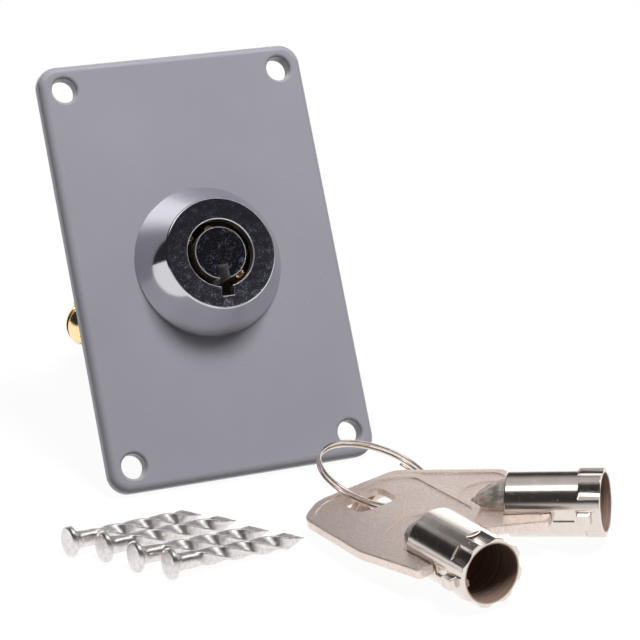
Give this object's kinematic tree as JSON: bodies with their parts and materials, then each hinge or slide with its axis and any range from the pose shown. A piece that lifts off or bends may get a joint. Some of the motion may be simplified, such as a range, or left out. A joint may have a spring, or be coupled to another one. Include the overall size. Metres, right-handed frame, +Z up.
{
  "type": "key switch station",
  "caption": "Tubular-key rotary switch on a small mounting plate with rear screw terminals, two keys on a ring, and loose twist-shank nails.",
  "frame": {"origin": "middle of the plate's lower back edge, on the floor that the plate, the switch base, the keys and the nails lie on", "axes": "+X to the plate's right seen from the front, +Y to the rear towards the switch base, +Z up; the plate leans back by 29.8 degrees"},
  "size_m": [0.0718, 0.1073, 0.0552],
  "materials": {
    "grey_plastic": "satin",
    "chrome_housing": "polished",
    "zinc_steel": "zinc plated",
    "brass": "plain",
    "spring_steel": "plain",
    "black_spindle": "matt black",
    "pin_brass": "bright",
    "pale_plastic": "plain",
    "black_plastic": "moulded",
    "screw_brass": "bright",
    "ring_steel": "bright",
    "key_nickel": "satin nickel",
    "key_chrome": "polished nickel",
    "nail_zinc": "galvanised"
  },
  "bodies": {
    "station": {"mount_plate": "grey_plastic", "lock_housing": "chrome_housing", "lock_washer": "zinc_steel", "lock_nut": "zinc_steel", "driver_sleeve": "brass", "sleeve_pin": "spring_steel", "driver_pins": "brass", "pin_springs": "spring_steel", "return_spring": "spring_steel", "switch_base": "black_plastic", "base_screws": "zinc_steel", "terminal_left": "brass", "terminal_right": "brass", "terminal_screw_left": "screw_brass", "terminal_screw_right": "screw_brass"},
    "spindle": {"key_spindle": "black_spindle", "key_pins": "pin_brass", "contact_rotor": "pale_plastic", "bridge_contact": "brass", "rotor_clip": "spring_steel"},
    "ring": {"key_ring": "ring_steel"},
    "front_key": {"front_key_bow": "key_nickel", "front_key_barrel": "key_chrome"},
    "rear_key": {"rear_key_bow": "key_nickel", "rear_key_barrel": "key_chrome"},
    "nail_set": {"nails": "nail_zinc"}
  },
  "joints": [
    {"name": "key_turn", "type": "hinge", "parent": "station", "child": "spindle", "pos_m": [0, 0.00816, 0.03152], "axis": [0, 0.8675, -0.4974], "range_deg": [0, 50], "stiffness_Nm_per_rad": 0.03, "deforming": ["return_spring"]},
    {"name": "key_set_lift", "type": "slide", "parent": "station", "child": "ring", "axis": [0, 0, 1], "range_m": [0, 0.03]},
    {"name": "front_key_swing", "type": "hinge", "parent": "ring", "child": "front_key", "pos_m": [0.00946, -0.02276, 0.00371], "axis": [-0.1489, 0.0356, 0.9882], "range_deg": [-9, 3]},
    {"name": "rear_key_swing", "type": "hinge", "parent": "ring", "child": "rear_key", "pos_m": [0.013, -0.02379, 0.00259], "axis": [-0.1318, 0.0301, 0.9908], "range_deg": [-8, 2]},
    {"name": "nails_lift", "type": "slide", "parent": "station", "child": "nail_set", "axis": [0, 0, 1], "range_m": [0, 0.03]}
  ]
}
